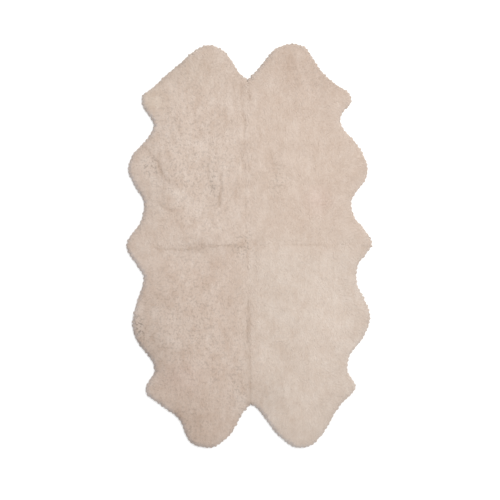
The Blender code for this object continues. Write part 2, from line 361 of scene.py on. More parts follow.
# ---------------------------------------------------------------- materials

# Flecks are dark spots of painted shade, as in gaps between curls: their size, where they start and are full,
# and how much they darken.
FLECK_SIZE, FLECK_FROM, FLECK_FULL, FLECK_PAINTED_SHADE = 0.011, 0.03, 0.13, 0.45
MOTTLE_MOST, MOTTLE_GAIN = 0.35, 2.0  # wool with flecks is more mottled, up to this strength of flecks
WARM_FROM = 0.9  # wool darker than this is warmer, and wool paler than this is cooler
WARMTH = (0.80, 1.05, 1.25)
CRIMP_WAVES, CRIMP_SHIFT, CRIMP_DEPTH = 26.0, 50.0, 0.07  # a lock's crimp, and how it differs by lock
STRANDS_ACROSS, STRANDS_ALONG, STRANDS_APART = 6.0, 3.0, 60.0


def new_material(name, roughness):
    """A material with a Principled shader, its nodes and a helper that adds to them."""
    material = bpy.data.materials.new(name)
    material.use_nodes = True
    shader = material.node_tree.nodes["Principled BSDF"]
    shader.inputs["Roughness"].default_value = roughness
    return material, shader, Nodes(material.node_tree)


def place_on(nodes):
    """Object coordinates, in metres."""
    return nodes.node("ShaderNodeTexCoord").output("Object")


def attribute(nodes, name, output="Fac"):
    """A value that the mesh's points hold."""
    return nodes.node("ShaderNodeAttribute", {"attribute_name": name}).output(output)


def add_bump(nodes, shader, height, strength, distance):
    """Shades the surface as if it rose and fell with this height."""
    bump = nodes.node("ShaderNodeBump", None, {"Strength": strength, "Distance": distance, "Height": height})
    nodes.feed(shader, "Normal", bump)


def wool_colour(nodes, colour, value):
    """The wool's colour at this value, with the pile's shade and its painted shade, faint patches and flecks
    of painted shade.
    """
    place = place_on(nodes)
    shade, flecks = attribute(nodes, "shade", "Vector"), attribute(nodes, "flecks")
    patches = cloudy(nodes, place, 0.13) * 0.16 + cloudy(nodes, place, 0.05) * 0.20
    streaks = cloudy(nodes, place * (1.0, 0.35, 1.0), 0.022) * 0.16
    spots = nodes.node("ShaderNodeMapRange", {"interpolation_type": "SMOOTHSTEP"}, {
        "Value": cloudy(nodes, place, FLECK_SIZE, 1.0), "From Min": FLECK_FROM, "From Max": FLECK_FULL})
    mottle = 1.0 + nodes.maths("MINIMUM", flecks, MOTTLE_MOST) * MOTTLE_GAIN
    value = value * (1.0 + (patches + streaks) * mottle)
    warm = (value - WARM_FROM) * WARMTH + WARM_FROM
    # The shade carries painted shade from the partings and the rim, and the flecks are painted shade too.
    return nodes.maths("MULTIPLY", tuple(colour), shade) * warm * (1.0 - flecks * spots * FLECK_PAINTED_SHADE)


def finish_wool(nodes, shader, colour, value):
    """Feeds the wool's colour at this value, and sets the soft bloom of matt wool, the same all over."""
    nodes.feed(shader, "Base Color", wool_colour(nodes, colour, value))
    shader.inputs["Sheen Weight"].default_value = 0.25
    shader.inputs["Sheen Roughness"].default_value = 0.6
    shader.inputs["Sheen Tint"].default_value = (1.0, 0.95, 0.90, 1.0)
    shader.inputs["Specular IOR Level"].default_value = 0.2


def lock_material(colour):
    """Wool on a lock: fine crimped strands along it, darker at its root, each lock a little different."""
    material, shader, nodes = new_material("wool_locks", 0.92)
    tone, along = attribute(nodes, "tone"), attribute(nodes, "along")
    crimp = nodes.maths("SINE", along * CRIMP_WAVES + tone * CRIMP_SHIFT) * CRIMP_DEPTH
    across = split(nodes, attribute(nodes, "around", "Vector")).output("Y") + crimp
    strand_place = joined(nodes, across * STRANDS_ACROSS, along * STRANDS_ALONG, tone * STRANDS_APART)
    strands = grain(nodes, strand_place, 1.0)
    value = (0.97 + tone * 0.04) * (0.66 + strands * 0.40) * (0.87 + along * 0.12)
    finish_wool(nodes, shader, colour, value)
    add_bump(nodes, shader, strands, 0.8, 1.6 * MM)
    return material


def wisp_material(colour):
    """Wool on a thin loose wisp, painted paler than a lock as painted light, for the light that a thin wisp
    lets through.
    """
    material, shader, nodes = new_material("wool_wisps", 0.9)
    # The higher value is painted light, not a paler wool.
    finish_wool(nodes, shader, colour, 1.00 + attribute(nodes, "tone") * 0.12)
    return material


def pile_material(colour):
    """Dense short wool between the curls, with fine curls as bump, painted darker than the locks as painted
    shade between them.
    """
    material, shader, nodes = new_material("wool_pile", 0.95)
    curls = grain(nodes, place_on(nodes), 3.5 * MM, 3.0, 1.2)
    # The lower value is painted shade where the pile shows between the locks.
    finish_wool(nodes, shader, colour, 0.80 + curls * 0.12)
    add_bump(nodes, shader, curls, 0.8, 1.5 * MM)
    return material


def suede_material(colour):
    """The flesh side of the leather: a mottled nap."""
    material, shader, nodes = new_material("suede", 0.85)
    place = place_on(nodes)
    mottle = cloudy(nodes, place, 0.09, 4.0) * 0.30 + cloudy(nodes, place, 0.012, 3.0) * 0.16
    nap = grain(nodes, place, 0.9 * MM, 3.0)
    nodes.feed(shader, "Base Color", nodes.maths("MULTIPLY", tuple(colour), 0.94 + mottle + nap * 0.12))
    add_bump(nodes, shader, nap, 0.35, 0.3 * MM)
    shader.inputs["Sheen Weight"].default_value = 0.3
    shader.inputs["Sheen Roughness"].default_value = 0.5
    return material


def thread_material(colour):
    """Twisted sewing thread."""
    material, shader, nodes = new_material("seam_thread", 0.7)
    fibres = grain(nodes, place_on(nodes), 0.5 * MM)
    nodes.feed(shader, "Base Color", nodes.maths("MULTIPLY", tuple(colour), 0.88 + fibres * 0.24))
    add_bump(nodes, shader, fibres, 0.4, 0.1 * MM)
    return material


# ---------------------------------------------------------------- mesh helpers


def merged_copy(node_name):
    """A CAD node's mesh as a bmesh whose loose triangles are joined."""
    built = bmesh.new()
    built.from_mesh(frame["nodes"][node_name].data)
    bmesh.ops.remove_doubles(built, verts=built.verts[:], dist=0.01 * MM)
    return built


def add_piece(name, mesh, material=None, replaced=()):
    """Puts a finished mesh in the scene as a piece that rides on the rug."""
    if material:
        mesh.materials.clear()
        mesh.materials.append(material)
    piece = bpy.data.objects.new(name, mesh)
    bpy.context.scene.collection.objects.link(piece)
    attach(piece, BODY)
    if replaced:
        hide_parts(*replaced)
    return piece


def smoothstep(low, high, values):
    share = np.clip((values - low) / (high - low), 0.0, 1.0)
    return share * share * (3 - 2 * share)


def unit(vectors):
    return vectors / np.maximum(np.linalg.norm(vectors, axis=-1, keepdims=True), 1e-9)


def noise_at(points, size):
    """Smooth noise whose bumps are about this wide, from -1 to 1."""
    return np.array([noise.noise(Vector(point) / size) for point in points])


def from_path(places, path):
    """The offset of each place from the nearest point of a path of points."""
    best = np.full((len(places), 2), 1e3)
    for start, end in zip(path, path[1:]):
        start, step = np.array(start), np.array(end) - np.array(start)
        share = np.clip(((places - start) @ step) / (step @ step), 0.0, 1.0)
        offset = places - (start + share[:, None] * step)
        nearer = np.linalg.norm(offset, axis=1) < np.linalg.norm(best, axis=1)
        best[nearer] = offset[nearer]
    return best


# ---------------------------------------------------------------- Geometry Nodes helpers

VALUE, VECTOR = "FLOAT", "FLOAT_VECTOR"


def tree_with_inputs(name, inputs):
    """A Geometry Nodes tree's helper, and signals for its geometry and for these named inputs."""
    tree = bpy.data.node_groups.new(name, "GeometryNodeTree")
    tree.interface.new_socket(name="Geometry", in_out="INPUT", socket_type="NodeSocketGeometry")
    for kind, labels in inputs.items():
        for label in labels:
            tree.interface.new_socket(name=label, in_out="INPUT", socket_type=f"NodeSocket{kind}")
    tree.interface.new_socket(name="Geometry", in_out="OUTPUT", socket_type="NodeSocketGeometry")
    nodes = Nodes(tree)
    entry = tree.nodes.new("NodeGroupInput")
    return nodes, {socket.name: Signal(nodes, socket) for socket in entry.outputs if socket.name}


def finished_tree(nodes, geometry, material):
    """Ends a tree: its instances are made real, its material is set and its geometry goes out."""
    geometry = nodes.node("GeometryNodeRealizeInstances", None, {"Geometry": geometry})
    geometry = nodes.node("GeometryNodeSetMaterial", None, {"Geometry": geometry, "Material": material})
    nodes.feed(nodes.tree.nodes.new("NodeGroupOutput"), "Geometry", geometry)
    return nodes.tree


def position(nodes):
    return nodes.node("GeometryNodeInputPosition")


def named(nodes, name, kind=VALUE):
    """A named attribute of the geometry."""
    return nodes.node("GeometryNodeInputNamedAttribute", {"data_type": kind}, {"Name": name})


def stored(nodes, geometry, kind, values):
    """The geometry with named attributes of this kind added to its points."""
    for name, value in values.items():
        geometry = nodes.node("GeometryNodeStoreNamedAttribute", {"data_type": kind, "domain": "POINT"},
                              {"Geometry": geometry, "Name": name, "Value": value})
    return geometry


def without(nodes, geometry, names):
    """The geometry without the attributes that these names fit."""
    return nodes.node("GeometryNodeRemoveAttribute", {"pattern_mode": "WILDCARD"},
                      {"Geometry": geometry, "Name": names})


def from_nearest(nodes, mesh, name, kind, place):
    """A named attribute of the mesh, at its point nearest to a place."""
    return nodes.node("GeometryNodeSampleNearestSurface", {"data_type": kind},
                      {"Mesh": mesh, "Value": named(nodes, name, kind), "Sample Position": place})


def moved(nodes, geometry, place):
    """The geometry with its points at these places."""
    return nodes.node("GeometryNodeSetPosition", None, {"Geometry": geometry, "Position": place})


def smooth_shaded(nodes, geometry):
    return nodes.node("GeometryNodeSetShadeSmooth", None, {"Geometry": geometry, "Shade Smooth": True})


def strips_on(nodes, points, count):
    """A curve of this many points for each of the points, which hands its attributes on to it."""
    line = nodes.node("GeometryNodeCurvePrimitiveLine", None, {"End": (0.0, 0.0, 1.0)})
    line = nodes.node("GeometryNodeResampleCurve", None, {"Curve": line, "Count": count})
    copies = nodes.node("GeometryNodeInstanceOnPoints", None, {"Points": points, "Instance": line})
    return nodes.node("GeometryNodeRealizeInstances", None, {"Geometry": copies})


def circle(nodes, sides):
    return nodes.node("GeometryNodeCurvePrimitiveCircle", None, {"Resolution": sides, "Radius": 1.0})


def tubes_along(nodes, curves, section, radius):
    """Closed tubes along the curves, with this section at this radius."""
    return nodes.node("GeometryNodeCurveToMesh", None,
                      {"Curve": curves, "Profile Curve": section, "Scale": radius, "Fill Caps": True})


def play(nodes, seed, offset):
    """A random number from -1 to 1 for each point."""
    return nodes.node("FunctionNodeRandomValue", {"data_type": "FLOAT"},
                      {"Min": -1.0, "Max": 1.0, "Seed": seed + offset})


def values_of(settings, labels):
    """The settings that feed a tree's inputs, under the inputs' own names."""
    return {label: getattr(settings, label.lower().replace(" ", "_")) for label in labels}


def grown(source, tree, values, name):
    """The mesh that a Geometry Nodes tree makes of a source mesh, with its named inputs set."""
    holder = bpy.data.objects.new(name, source)
    bpy.context.scene.collection.objects.link(holder)
    modifier = holder.modifiers.new("grow", "NODES")
    modifier.node_group = tree
    identifiers = {item.name: item.identifier for item in tree.interface.items_tree
                   if item.in_out == "INPUT"}
    for label, value in values.items():
        modifier[identifiers[label]] = value
    bpy.context.view_layer.update()
    evaluated = holder.evaluated_get(bpy.context.evaluated_depsgraph_get())
    mesh = bpy.data.meshes.new_from_object(evaluated)
    mesh.name = name
    bpy.data.objects.remove(holder)
    if not mesh.polygons:
        raise RuntimeError(f"{name}: nothing grew")
    return mesh


# ---------------------------------------------------------------- pile

TOP_LEVEL = 18.5 * MM  # above this the CAD fleece is its top, and below it is its side
SIDE_LEVEL = 16 * MM  # the pile is lowered and filled in full from this height up
RIM_LEVEL = 8.0 * MM  # the rim's locks and hollows lie at or below this
RIM_FACING = 0.3  # a point of the rim faces outwards at least this much
RIM_NEIGHBOURS, RIM_SOFTNESS = 10, 12 * MM  # the way out is a mean of the rim's, near ones more
SEAM_STRIP = 1.0 * MM  # a point this near a seam is on the wall that faces it
ROUNDED_DEPTH = 30 * MM  # the rim's facets are rounded sideways too, this far in
CUTS = 3  # each side of a CAD triangle is cut this many times
SMOOTHING_ROUNDS = 6

# How far the CAD fleece falls towards a seam, in two steps, that the wool fills again, and where that
# starts and is full, in from the rim.
SEAM_SLOPE_WIDTH, SEAM_SLOPE_FALL = 24 * MM, 3.8 * MM
SEAM_LIP_WIDTH, SEAM_LIP_FALL = 4 * MM, 4.0 * MM
FILL_STARTS, FILL_FULL = 0.006, 0.040

# The wool leans outwards at the rim and towards the neck further in, and droops over the rim's edge.
LEAN_OUT, LEAN_TO_NECK = 0.02, 0.15
DROOP, DROOP_FULL, DROOP_ENDS = 1.3, 0.004, 0.018

# At a parting the locks lie apart over a wider strip than the groove, and stray less there.
PARTED_WIDTH, PARTED_TURN, PARTED_CALM = 1.8, 1.5, 0.7

# No lock grows on a wall that faces a seam, and a lock beside a seam doesn't lean over it.
WALL_STARTS, WALL_FULL = 0.80, 0.95
UPRIGHT_STRIP = 12 * MM
FOOT_BARE, FOOT_GROWN = 0.5 * MM, 4 * MM  # none grows up to the first height, and all from the second
UNDERSIDE, OVERHANG = -0.9, -0.5  # a normal whose Z is below these is the underside's, or an overhang's
FRINGE_FULL, FRINGE_ENDS = 9 * MM, 18 * MM  # wisps grow this near to the rim


def seam_distances(points, pelt):
    """Each point's distance out from the long seam and from the cross seam."""
    side_x, side_y = PELT_SIDES[pelt]
    return side_x * (points[:, 0] - SEAM_X), side_y * (points[:, 1] - SEAM_Y)


class Rim:
    """The rug's free edge, which tells how deep a point lies and which way is out."""

    def __init__(self, built, pelt):
        built.normal_update()
        points = np.array([v.co for v in built.verts])
        normals = np.array([v.normal for v in built.verts])
        out, up = seam_distances(points, pelt)
        at_rim = (points[:, 2] < RIM_LEVEL) & (np.minimum(out, up) > SEAM_STRIP)
        at_rim &= np.linalg.norm(normals[:, :2], axis=1) > RIM_FACING
        self.outward = unit(normals[at_rim][:, :2])
        self.tree = KDTree(len(self.outward))
        for index, place in enumerate(points[at_rim][:, :2]):
            self.tree.insert((*place, 0.0), index)
        self.tree.balance()

    def look_up(self, places):
        """The depth in from the rim and the way out at each place."""
        depth, outward = np.empty(len(places)), np.empty((len(places), 2))
        for row, place in enumerate(places):
            found = self.tree.find_n((*place, 0.0), RIM_NEIGHBOURS)
            weights = np.array([1 / (distance ** 2 + RIM_SOFTNESS ** 2) for _, _, distance in found])
            ways = self.outward[[index for _, index, _ in found]]
            outward[row] = weights @ ways / weights.sum()
            depth[row] = found[0][2]
        return depth, unit(outward)


def smoothed(points, edges, movable, rounds):
    """The points, each moved half way to its neighbours' mean, on the axes it may move on."""
    count = np.bincount(edges.ravel(), minlength=len(points))[:, None]
    for _ in range(rounds):
        total = np.zeros_like(points)
        np.add.at(total, edges[:, 0], points[edges[:, 1]])
        np.add.at(total, edges[:, 1], points[edges[:, 0]])
        points = np.where(movable, (points + total / count) / 2, points)
    return points


def lie_of_wool(points, depth, outward, pelt):
    """The way the locks lean, how much they stray from it, and how deep the wool dips."""
    at_rim = 1 - smoothstep(LEAN_OUT, LEAN_TO_NECK, depth)[:, None]
    to_neck = np.array([0.0, PELT_SIDES[pelt][1]])
    flat = unit(outward * at_rim + to_neck * (1 - at_rim))
    droop = DROOP * (1 - smoothstep(DROOP_FULL, DROOP_ENDS, depth))
    stray, dip = np.ones(len(points)), np.zeros(len(points))
    for parting in PARTINGS:
        offset = from_path(points[:, :2] - CROSS, parting.points)
        distance = np.linalg.norm(offset, axis=1)
        dip = np.maximum(dip, np.exp(-(distance / parting.width) ** 2) * parting.depth)
        wide = np.exp(-(distance / (PARTED_WIDTH * parting.width)) ** 2) * parting.open
        flat = unit(flat * (1 - wide[:, None]) + unit(offset) * wide[:, None] * PARTED_TURN)
        stray *= 1 - PARTED_CALM * wide
    return np.column_stack([flat, -droop]), stray, dip


def shades_together(points, pelt):
    """The pelt's shade at each point, mixed with its neighbours' near the seams."""
    mixed = [0.5 * (1 - smoothstep(0.0, SHADES_MEET, distance)) for distance in seam_distances(points, pelt)]
    shade = np.zeros((len(points), 3))
    for other, sides in PELT_SIDES.items():
        weight = np.ones(len(points))
        for share, side, own_side in zip(mixed, sides, PELT_SIDES[pelt]):
            weight *= 1 - share if side == own_side else share
        shade += weight[:, None] * np.array(PELT_SHADES[other])
    return shade


def shade_of_wool(points, depth, outward, pelt):
    """The wool's shade at each point, with painted shade in partings and at the rim, and the strength of its
    flecks.
    """
    places = points[:, :2] - CROSS
    shade, flecks = shades_together(points, pelt), np.zeros(len(points))
    # Painted shade: darker towards the rim, where the wool slopes away from the light.
    shade *= 1 - RIM_PAINTED_SHADE * (1 - smoothstep(0.0, RIM_REACH, depth))[:, None]
    # Painted shade: the fringe on the side away from the light is greyer.
    fringe = np.clip(outward @ SHADED_FRINGE_SIDE, 0.0, 1.0) * (1 - smoothstep(SHADED_FRINGE_CORE, SHADED_FRINGE_REACH, depth))
    shade *= 1 - FRINGE_PAINTED_SHADE * fringe[:, None]
    # Painted shade in each parting's groove; the streaks darken or pale the wool's tone.
    for mark in (*PARTINGS, *STREAKS):
        distance = np.linalg.norm(from_path(places, mark.points), axis=1)
        shade *= 1 - mark.dark * PAINTED_SHADE_AND_STREAK_TINT * np.exp(-(distance / mark.width) ** 2)[:, None]
    for patch in PATCHES:
        near = np.exp(-np.linalg.norm((places - np.array(patch.centre)) / np.array(patch.reach), axis=1) ** 2)
        shade *= 1 + (np.array(patch.tint) - 1) * near[:, None]
        flecks = np.maximum(flecks, patch.flecks * near)
    return shade, flecks


def pile_form(pelt, drop):
    """The pelt's wool before its tufts and curls: the CAD fleece rounded off, and what each point knows."""
    built = merged_copy(f"fleece_{pelt}")
    rim = Rim(built, pelt)
    bmesh.ops.subdivide_edges(built, edges=built.edges[:], cuts=CUTS, use_grid_fill=True)
    bmesh.ops.triangulate(built, faces=built.faces[:])
    built.normal_update()
    mesh = bpy.data.meshes.new(f"pile_{pelt}")
    built.to_mesh(mesh)
    normals = np.array([v.normal for v in built.verts])
    built.free()
    mesh.attributes.remove(mesh.attributes["custom_normal"])
    points = np.array([v.co for v in mesh.vertices])
    edges = np.array([e.vertices for e in mesh.edges])
    out, up = seam_distances(points, pelt)
    to_seam = np.minimum(out, up)
    above = smoothstep(HIDE_TOP, SIDE_LEVEL, points[:, 2])
    depth, outward = rim.look_up(points[:, :2])
    lie, stray, dip = lie_of_wool(points, depth, outward, pelt)

    free = (points[:, 2] > TOP_LEVEL) | (depth < ROUNDED_DEPTH)
    free &= to_seam > SEAM_STRIP
    free &= normals[:, 2] > UNDERSIDE
    sideways = free & (depth < ROUNDED_DEPTH) & (to_seam > ROUNDED_DEPTH)
    fill = SEAM_SLOPE_FALL * (1 - smoothstep(0.0, SEAM_SLOPE_WIDTH, to_seam))
    fill += SEAM_LIP_FALL * np.clip(1 - to_seam / SEAM_LIP_WIDTH, 0.0, 1.0)
    points[:, 2] += fill * above * smoothstep(FILL_STARTS, FILL_FULL, depth)
    points = smoothed(points, edges, np.column_stack([sideways, sideways, free]), SMOOTHING_ROUNDS)
    points[:, 2] -= (drop + dip) * above
    points[:, 2] = np.maximum(points[:, 2], 0.0)
    mesh.vertices.foreach_set("co", points.astype(np.float32).ravel())
    mesh.update()

    normals = np.array([v.normal for v in mesh.vertices])
    side_x, side_y = PELT_SIDES[pelt]
    facing_x = -side_x * normals[:, 0] * (out < SEAM_STRIP)
    facing = np.maximum(facing_x, -side_y * normals[:, 1] * (up < SEAM_STRIP))
    foot = smoothstep(FOOT_BARE, FOOT_GROWN, points[:, 2])
    grows = foot * (1 - smoothstep(WALL_STARTS, WALL_FULL, facing)) * (normals[:, 2] > OVERHANG)
    normals[:, 0] *= smoothstep(0.0, UPRIGHT_STRIP, out)
    normals[:, 1] *= smoothstep(0.0, UPRIGHT_STRIP, up)
    # The shade holds the pelts' tones with painted shade in the partings and at the rim.
    shade, flecks = shade_of_wool(points, depth, outward, pelt)
    fringe = grows * (1 - smoothstep(FRINGE_FULL, FRINGE_ENDS, depth))
    known = {"way": unit(normals), "grows": grows, "fringe": fringe, "lie": lie, "stray": stray,
             "depth": depth, "shade": shade, "flecks": flecks}
    for name, values in known.items():
        layer = mesh.attributes.new(name, VECTOR if values.ndim == 2 else VALUE, "POINT")
        layer.data.foreach_set("vector" if values.ndim == 2 else "value", values.astype(np.float32).ravel())
    return mesh


PILE_INPUTS = {"Float": ("Tuft Size", "Tuft Height", "Clump Size", "Clump Height"), "Material": ("Wool",)}


def pile_tree():
    """Geometry Nodes that raise tufts and clumps on the wool's rounded form."""
    nodes, given = tree_with_inputs("wool_pile", PILE_INPUTS)
    relief = 0.0
    for size, height in (("Tuft Size", "Tuft Height"), ("Clump Size", "Clump Height")):
        relief = relief + cloudy(nodes, position(nodes), given[size], 1.0) * 2.0 * given[height]
    offset = nodes.maths("MULTIPLY", named(nodes, "way", VECTOR), relief * named(nodes, "grows"))
    raised = nodes.node("GeometryNodeSetPosition", None, {"Geometry": given["Geometry"], "Offset": offset})
    apart = split(nodes, position(nodes))
    height = nodes.maths("MAXIMUM", apart.output("Z"), 0.0)
    raised = moved(nodes, raised, joined(nodes, apart.output("X"), apart.output("Y"), height))
    return finished_tree(nodes, smooth_shaded(nodes, raised), given["Wool"])


class SHEEPSKIN_OT_pile(Operator):
    """Build the dense pile of the four pelts"""

    bl_idname = "sheepskin.pile"
    bl_label = "Pile"

    def execute(self, context):
        fleece = context.scene.sheepskin_fleece
        tree = pile_tree()
        values = {**values_of(fleece, PILE_INPUTS["Float"]), "Wool": pile_material(fleece.colour)}
        for pelt in PELT_SIDES:
            mesh = grown(pile_form(pelt, fleece.pile_drop), tree, values, f"pile_{pelt}")
            add_piece(f"pile_{pelt}", mesh, replaced=[f"fleece_{pelt}"])
        return {"FINISHED"}


# ---------------------------------------------------------------- locks

LOCK_SIDES = 3
LEAST_CURL = 0.15
CRIMPS = 1.3
MOST_ROOTS = 90000.0  # roots to a square metre, more than the spacing lets through
RISE_PLAY = 0.6
RISE_START, RISE_SPAN = 0.10, 0.83  # the stretch of a half wave that a lock's rise follows
WIDTH_START, WIDTH_SPAN = 0.14, 0.84  # and the stretch that its width follows
SWING_SHIFT = (3.0, 5.0, 7.0)  # swings take their noise this far away, so that it differs from the swirls'
FLAT_SIDE = -0.25  # a lock's edges are sharp on this side of its section
FLOOR_LAYER = 1.5 * MM
LOOK_DOWN = 6 * MM  # away from the rim, a lock finds the pile's top from this far above
HIDE_MARGIN = 5.0 * MM  # wool this near to a hide's edge counts as over it
HIDE_CLEARANCE = 0.2 * MM

LOCK_INPUTS = {
    "String": ("Where",),
    "Int": ("Points", "Seed"),
    "Float": ("Spacing", "Length", "Length Play", "Width", "Flatness", "Rise", "Sink", "Hold", "Curl",
              "Crimp", "Swing Size", "Swing", "Swirl Size", "Swirl", "Stray", "Rim Width", "Rim Bend",
              "Rim Shortening"),
    "Material": ("Wool",),
}

# What locks and wisps are grown with, beside what the settings say.
SHARED_VALUES = {"Swing Size": 0.028, "Swing": 1.3, "Swirl": 1.3, "Rim Width": 0.035}
LOCK_VALUES = {
    "Where": "grows", "Points": 5, "Length Play": 0.3, "Flatness": 0.20, "Sink": 3.0 * MM, "Hold": 1.0,
    "Curl": 0.9, "Crimp": 1.4 * MM, "Stray": 0.5, "Rim Bend": 30.0, "Rim Shortening": 0.35}
WISP_VALUES = {
    "Where": "fringe", "Points": 4, "Spacing": 3.0 * MM, "Length": 22 * MM, "Length Play": 0.35,
    "Width": 0.32 * MM, "Flatness": 1.0, "Rise": 1.6 * MM, "Sink": 1.5 * MM, "Hold": 0.55, "Curl": 1.4,
    "Crimp": 1.2 * MM, "Stray": 0.35, "Rim Bend": 20.0, "Rim Shortening": 0.0}
PELT_SEED_STEP, WISP_SEED_STEP = 10, 5


def scattered_roots(nodes, given):
    """Points scattered over the pile, each with its lock's own direction, length and bends."""
    seed = given["Seed"]
    roots = nodes.node("GeometryNodeDistributePointsOnFaces", {"distribute_method": "POISSON"}, {
        "Mesh": given["Geometry"], "Distance Min": given["Spacing"], "Density Max": MOST_ROOTS,
        "Density Factor": named(nodes, given["Where"]), "Seed": seed})
    up, place = roots.output("Normal"), position(nodes)
    lie = named(nodes, "lie", VECTOR)
    swirl = cloudy(nodes, place, given["Swirl Size"], 1.0)
    swing = cloudy(nodes, place + SWING_SHIFT, given["Swing Size"], 1.0)
    turn = swirl * 2.0 * given["Swirl"] + swing * 2.0 * given["Swing"]
    turn = (turn + play(nodes, seed, 1) * given["Stray"]) * named(nodes, "stray")
    level = lie - up * nodes.maths("DOT_PRODUCT", lie, up)
    lean = nodes.node("ShaderNodeVectorRotate", {"rotation_type": "AXIS_ANGLE"},
                      {"Vector": nodes.maths("NORMALIZE", level), "Axis": up, "Angle": turn})
    rim = nodes.node("ShaderNodeMapRange", {"interpolation_type": "SMOOTHSTEP"},
                     {"Value": named(nodes, "depth"), "From Min": 0.0, "From Max": given["Rim Width"],
                      "To Min": 1.0, "To Max": 0.0})
    length = given["Length"] * (1.0 + play(nodes, seed, 2) * given["Length Play"])
    curl = play(nodes, seed, 4) * given["Curl"]
    points = stored(nodes, roots, VECTOR, {"lock_root": place, "lock_up": up, "lock_lean": lean})
    return stored(nodes, points, VALUE, {
        "lock_length": length * (1.0 - rim * given["Rim Shortening"]),
        "lock_rise": given["Rise"] * (1.0 + play(nodes, seed, 3) * RISE_PLAY),
        "lock_curl": curl + nodes.maths("SIGN", curl) * LEAST_CURL,
        "lock_bend": rim * given["Rim Bend"],
        "lock_lift": (1.0 - rim) * LOOK_DOWN,
        "lock_base": (1.0 - rim) * HIDE_TOP,
        "tone": play(nodes, seed, 6) * 0.5 + 0.5,
    })


def laid_curves(nodes, given, points):
    """One curve through each point: it rises out of the pile, lies along it in an arc and ends on it."""
    pile = given["Geometry"]
    curves = strips_on(nodes, points, given["Points"])
    share = nodes.node("GeometryNodeSplineParameter")
    up, lean = named(nodes, "lock_up", VECTOR), named(nodes, "lock_lean", VECTOR)
    curl, length = named(nodes, "lock_curl"), named(nodes, "lock_length")
    heading = curl * (share - 0.5)
    ahead = nodes.maths("SINE", heading) / curl
    aside = (nodes.maths("COSINE", heading) - nodes.maths("COSINE", curl * 0.5)) / curl
    side = nodes.maths("CROSS_PRODUCT", up, lean)
    travel = nodes.maths("MAXIMUM", share - 0.5, 0.0) * length
    drop = travel * travel * named(nodes, "lock_bend")
    crimp = nodes.maths("SINE", (share * CRIMPS + named(nodes, "tone")) * 2.0 * math.pi) * given["Crimp"]
    guess = named(nodes, "lock_root", VECTOR) + (lean * ahead + side * aside) * length - up * drop
    guess = guess + side * crimp
    above = guess + up * named(nodes, "lock_lift")
    on_pile = nodes.node("GeometryNodeProximity", {"target_element": "FACES"},
                         {"Geometry": pile, "Sample Position": above})
    out = nodes.maths("NORMALIZE", from_nearest(nodes, pile, "way", VECTOR, above))
    rise = named(nodes, "lock_rise") * nodes.maths("SINE", (RISE_START + RISE_SPAN * share) * math.pi)
    sink = given["Sink"] * (1.0 - share) * (1.0 - share)
    centre = guess + out * (nodes.maths("DOT_PRODUCT", on_pile - guess, out) * given["Hold"] + rise - sink)
    width = given["Width"] * nodes.maths("SINE", (WIDTH_START + WIDTH_SPAN * share) * math.pi)
    curves = stored(nodes, curves, VECTOR, {"lock_out": out})
    curves = stored(nodes, curves, VALUE, {"lock_width": width, "along": share})
    return nodes.node("GeometryNodeSetCurveNormal", {"mode": "FREE"},
                      {"Curve": moved(nodes, curves, centre), "Normal": named(nodes, "lock_out", VECTOR)})


def above_base(nodes, geometry):
    """The geometry with what is near or under the floor, or the hide, pressed into a thin layer on it."""
    apart = split(nodes, position(nodes))
    base = named(nodes, "lock_base")
    height = apart.output("Z") - base
    low = nodes.maths("MINIMUM", height, FLOOR_LAYER) / FLOOR_LAYER
    pressed = nodes.maths("EXPONENT", low - 1.0) * FLOOR_LAYER
    height = nodes.maths("MAXIMUM", height - FLOOR_LAYER, 0.0) + pressed + base
    return moved(nodes, geometry, joined(nodes, apart.output("X"), apart.output("Y"), height))


def lock_tree():
    """Geometry Nodes that cover the pile with flat locks of wool, like overlapping leaves."""
    nodes, given = tree_with_inputs("wool_locks", LOCK_INPUTS)
    curves = laid_curves(nodes, given, scattered_roots(nodes, given))
    ring = stored(nodes, circle(nodes, LOCK_SIDES), VECTOR, {"around": position(nodes)})
    ring = nodes.node("GeometryNodeTransform", None,
                      {"Geometry": ring, "Scale": joined(nodes, given["Flatness"], 1.0, 1.0)})
    locks = above_base(nodes, tubes_along(nodes, curves, ring, named(nodes, "lock_width")))
    # Each lock takes the pile's shade, with its painted shade, and its flecks from the point just under it.
    for name, kind in (("shade", VECTOR), ("flecks", VALUE)):
        below = from_nearest(nodes, given["Geometry"], name, kind, position(nodes))
        locks = stored(nodes, locks, kind, {name: below})
    around = split(nodes, named(nodes, "around", VECTOR))
    flat_side = nodes.maths("LESS_THAN", around.output("X"), FLAT_SIDE)
    locks = nodes.node("GeometryNodeSetShadeSmooth", {"domain": "EDGE"}, {
        "Geometry": smooth_shaded(nodes, locks), "Selection": flat_side, "Shade Smooth": False})
    return finished_tree(nodes, without(nodes, locks, "lock_*"), given["Wool"])


def lift_off_hides(mesh):
    """Raises the points that are over a hide, but lower than its top, into a thin layer just above it."""
    hides = []
    for pelt in PELT_SIDES:
        built = merged_copy(f"hide_{pelt}")
        hides.append(BVHTree.FromBMesh(built))
        built.free()
    layer = HIDE_TOP + HIDE_CLEARANCE
    for point in mesh.vertices:
        level = Vector((point.co.x, point.co.y, HIDE_TOP / 2))
        if point.co.z < layer and any(hide.find_nearest(level, HIDE_MARGIN)[0] for hide in hides):
            point.co.z = layer + HIDE_CLEARANCE * point.co.z / layer
    mesh.update()


def lay_on_piles(kind, tree, fleece, first_seed, values):
    """Adds a piece of locks, or of wisps, on each pelt's pile."""
    values = {**SHARED_VALUES, "Swirl Size": fleece.swirl_size, **values}
    for number, pelt in enumerate(PELT_SIDES):
        values["Seed"] = first_seed + PELT_SEED_STEP * number
        pile = bpy.data.objects[f"pile_{pelt}"]
        mesh = grown(pile.data.copy(), tree, values, f"{kind}_{pelt}")
        lift_off_hides(mesh)
        add_piece(f"{kind}_{pelt}", mesh)


